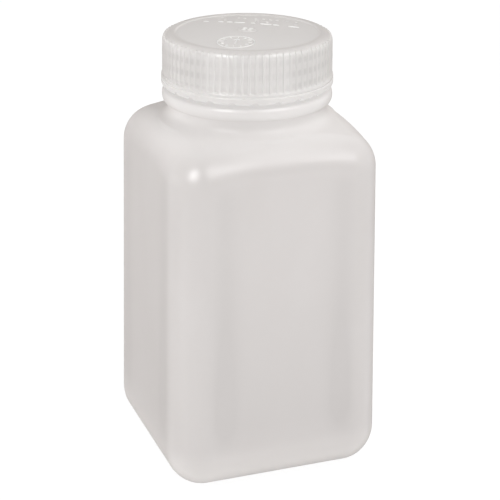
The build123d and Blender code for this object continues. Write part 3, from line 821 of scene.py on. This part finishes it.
# a wide light card lies on the sheet in front: only reflections show it
fx, fy, fz = ft.sep()
fa = math.radians(-110.28)
along = ft.math("ADD", ft.math("MULTIPLY", fx, math.cos(fa)), ft.math("MULTIPLY", fy, math.sin(fa)))
across = ft.math("ABSOLUTE", ft.math("SUBTRACT", ft.math("MULTIPLY", fx, math.sin(fa)), ft.math("MULTIPLY", fy, math.cos(fa))))
slope = ft.math("DIVIDE", across, ft.math("MAXIMUM", along, 0.001))
card = ft.math("MULTIPLY", ft.math("SUBTRACT", 1.0, ft.smooth(slope, 1.55, 2.1)), ft.smooth(along, 0.03, 0.12))
ge = ft.shader("ShaderNodeEmission", Color=(1.0, 1.0, 1.0), Strength=ft.math("ADD", 0.40, ft.math("MULTIPLY", card, CARD)))
ft.link(ft.mixs(lp.outputs["Is Glossy Ray"], base, ge), ft.out.inputs["Surface"])
floor.data.materials.append(ft.mat)

world = bpy.data.worlds.new("studio")
bpy.context.scene.world = world
world.use_nodes = True
wn = world.node_tree
wn.nodes.clear()
wo = wn.nodes.new("ShaderNodeOutputWorld")
bgc = wn.nodes.new("ShaderNodeBackground")
bgl = wn.nodes.new("ShaderNodeBackground")
wm = wn.nodes.new("ShaderNodeMixShader")
wl = wn.nodes.new("ShaderNodeLightPath")
bgc.inputs[0].default_value = (1, 1, 1, 1); bgc.inputs[1].default_value = 1.05
bgl.inputs[0].default_value = (1.0, 0.995, 0.99, 1)
# less light comes from the upper left
ws = wn.nodes.new("ShaderNodeTexCoord")
wq = wn.nodes.new("ShaderNodeVectorMath")
wq.operation = "DOT_PRODUCT"
wq.inputs[1].default_value = (-0.72, 0.10, 0.69)
wn.links.new(ws.outputs["Generated"], wq.inputs[0])
wv = wn.nodes.new("ShaderNodeMapRange")
wv.interpolation_type = "SMOOTHSTEP"
wv.inputs["From Min"].default_value, wv.inputs["From Max"].default_value = 0.30, 0.90
wv.inputs["To Min"].default_value, wv.inputs["To Max"].default_value = 0.93, 0.93 * 0.52
wn.links.new(wq.outputs["Value"], wv.inputs["Value"])
wn.links.new(wv.outputs["Result"], bgl.inputs[1])
# reflections see a darker backdrop behind the object, so the rims of the plastic stand out
wt = wn.nodes.new("ShaderNodeTexCoord")
wd = wn.nodes.new("ShaderNodeVectorMath")
wd.operation = "DOT_PRODUCT"
wd.inputs[1].default_value = (math.sin(math.radians(20.283)), math.cos(math.radians(20.283)), 0.0)
wn.links.new(wt.outputs["Generated"], wd.inputs[0])
wr = wn.nodes.new("ShaderNodeMapRange")
wr.interpolation_type = "SMOOTHSTEP"
wr.inputs["From Min"].default_value, wr.inputs["From Max"].default_value = 0.25, 0.90
wr.inputs["To Min"].default_value, wr.inputs["To Max"].default_value = 0.87, 0.87 * BACKDROP
wn.links.new(wd.outputs["Value"], wr.inputs["Value"])
bgg = wn.nodes.new("ShaderNodeBackground")
bgg.inputs[0].default_value = (1.0, 0.995, 0.99, 1)
wn.links.new(wr.outputs["Result"], bgg.inputs[1])
wg = wn.nodes.new("ShaderNodeMixShader")
wn.links.new(wl.outputs["Is Glossy Ray"], wg.inputs[0])
wn.links.new(bgl.outputs[0], wg.inputs[1])
wn.links.new(bgg.outputs[0], wg.inputs[2])
wn.links.new(wl.outputs["Is Camera Ray"], wm.inputs[0])
wn.links.new(wg.outputs[0], wm.inputs[1])
wn.links.new(bgc.outputs[0], wm.inputs[2])
wn.links.new(wm.outputs[0], wo.inputs[0])


def softbox(name, at, to, w, h, power, col=(1, 1, 1), glint=False, fill=False):
    li = bpy.data.lights.new(name, "AREA")
    li.shape = "RECTANGLE"
    li.size, li.size_y = w, h
    li.energy = power
    li.color = col
    o = bpy.data.objects.new(name, li)
    o.location = at
    d = Vector(to) - Vector(at)
    o.rotation_euler = d.to_track_quat("-Z", "Y").to_euler()
    bpy.context.scene.collection.objects.link(o)
    o.visible_camera = False
    if glint:      # only its reflection shows
        o.visible_diffuse = False
        o.visible_transmission = False
    if fill:       # only its light shows
        o.visible_glossy = False
    return o


softbox("front_glint", (0.325, -0.730, 0.800), (0, 0, 0.13), 0.70, 0.62, 7.4, glint=True)
softbox("corner_glint", (-0.67, -0.52, 0.66), (0, 0, 0.13), 0.30, 0.50, 8.4, glint=True)
softbox("back_glint", (0.170, 0.458, 1.226), (0, 0, 0.13), 0.9, 1.3, 2.6, glint=True)
softbox("front_box", (0.325, -0.730, 0.800), (0, 0, 0.13), 0.60, 0.60, 0.45, fill=True)
softbox("left_box", (-0.95, 0.30, 0.12), (0, 0, 0.06), 0.8, 0.6, 8.6, (1.0, 0.99, 0.985), fill=True)
softbox("right_box", (0.95, -0.30, 0.22), (0, 0, 0.08), 0.8, 0.8, 1.3, (1.0, 0.99, 0.985), fill=True)
softbox("top_box", (0.30, -0.50, 1.16), (0, 0, 0.13), 0.7, 0.7, 5.2, fill=True)

# ------------------------------------------------------------------ camera
YAW, ELEV, DIST, FPX, CX, CY, ROLL, ZT = 20.283, 5.7359, 715.19, 1721.76, 249.06, -221.39, 0.368, 284.31
ya, el = math.radians(YAW), math.radians(ELEV)
back = Vector((-math.sin(ya) * math.cos(el), -math.cos(ya) * math.cos(el), math.sin(el)))
loc = Vector((0, 0, ZT * MM)) + back * (DIST * MM)
cam_data = bpy.data.cameras.new("cam")
cam = bpy.data.objects.new("cam", cam_data)
bpy.context.scene.collection.objects.link(cam)
bpy.context.scene.camera = cam
cam_data.sensor_width = 36.0
cam_data.lens = 36.0 * FPX / 500.0
cam_data.clip_start, cam_data.clip_end = 0.02, 50.0
q = (-back).to_track_quat("-Z", "Y")
cam.rotation_mode = "QUATERNION"
cam.rotation_quaternion = q @ Quaternion((0, 0, 1), math.radians(ROLL))
cam.location = loc
SHIFT_X = -(CX - 250.0) / 500.0
SHIFT_Y = (CY - 250.0) / 500.0

# the lens shift belongs to the home position: it fades out once the camera is moved elsewhere
home = bpy.data.objects.new("camera_home", None)
home.location = loc
bpy.context.scene.collection.objects.link(home)
for path, full in (("shift_x", SHIFT_X), ("shift_y", SHIFT_Y)):
    fc = cam_data.driver_add(path)
    dr = fc.driver
    dr.type = "SUM"
    var = dr.variables.new()
    var.name = "d"
    var.type = "LOC_DIFF"
    var.targets[0].id = cam
    var.targets[1].id = home
    for m in list(fc.modifiers):
        fc.modifiers.remove(m)
    fc.keyframe_points.insert(0.0, full)
    fc.keyframe_points.insert(0.0005, full)
    fc.keyframe_points.insert(0.02, 0.0)
    fc.keyframe_points.insert(10.0, 0.0)
    for kp in fc.keyframe_points:
        kp.interpolation = "LINEAR"
    fc.extrapolation = "CONSTANT"

sc = bpy.context.scene
sc.view_settings.view_transform = "Standard"
sc.view_settings.look = "None"
sc.view_settings.exposure = 0.0
sc.view_settings.gamma = 1.0
bpy.context.view_layer.update()
